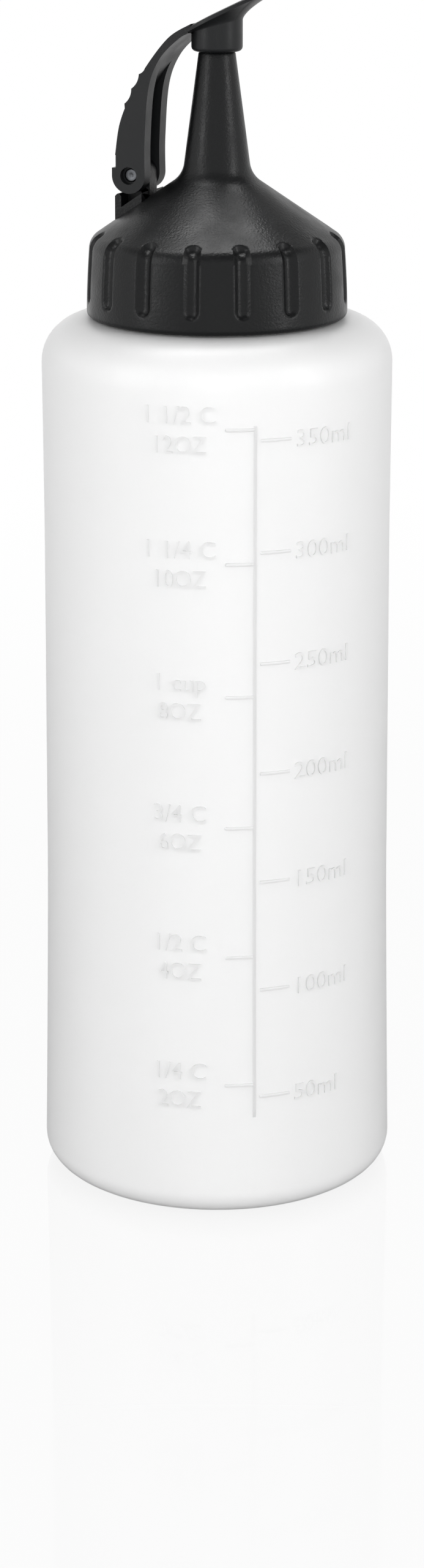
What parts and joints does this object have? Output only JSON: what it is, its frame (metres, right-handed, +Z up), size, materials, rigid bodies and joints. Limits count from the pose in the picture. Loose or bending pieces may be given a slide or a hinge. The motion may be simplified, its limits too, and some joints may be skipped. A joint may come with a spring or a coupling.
{
  "type": "squeeze dosing bottle",
  "caption": "Tall squeeze bottle with a raised measuring scale, a screw cap with a tapered spout, and a flip-up lever whose cup closes the spout.",
  "frame": {"origin": "centre of the bottle's foot, on the surface it stands on", "axes": "+Z up along the bottle's axis; the lever's hinge is on the -X side and its leaf points to +X; the hinge pin lies along Y"},
  "size_m": [0.061, 0.061, 0.2074],
  "materials": {
    "bottle": "natural milky translucent polyethylene, blown, satin",
    "gasket": "translucent white silicone",
    "cap": "black polypropylene, fine spark-eroded grain",
    "pin": "bright drawn stainless steel",
    "lever": "black polypropylene, satin",
    "seal": "translucent white silicone"
  },
  "bodies": {
    "bottle": {"bottle": "bottle"},
    "gasket": {"neck_gasket": "gasket"},
    "cap": {"screw_cap": "cap", "hinge_pin": "pin"},
    "lever": {"lever": "lever", "tip_seal": "seal"}
  },
  "joints": [
    {"name": "cap_lift", "type": "slide", "parent": "bottle", "child": "gasket", "axis": [0, 0, 1], "range_m": [0, 0.0126]},
    {"name": "cap_turn", "type": "hinge", "parent": "gasket", "child": "cap", "pos_m": [0, 0, 0.1515], "axis": [0, 0, 1], "range_deg": [0, 1080]},
    {"name": "lever_open", "type": "hinge", "parent": "cap", "child": "lever", "pos_m": [-0.01453, 0, 0.17516], "axis": [0, -1, 0], "range_deg": [0, 100]}
  ],
  "couplings": [
    {"joint": "cap_turn", "follows": "cap_lift", "rad_per_m": 1496}
  ]
}
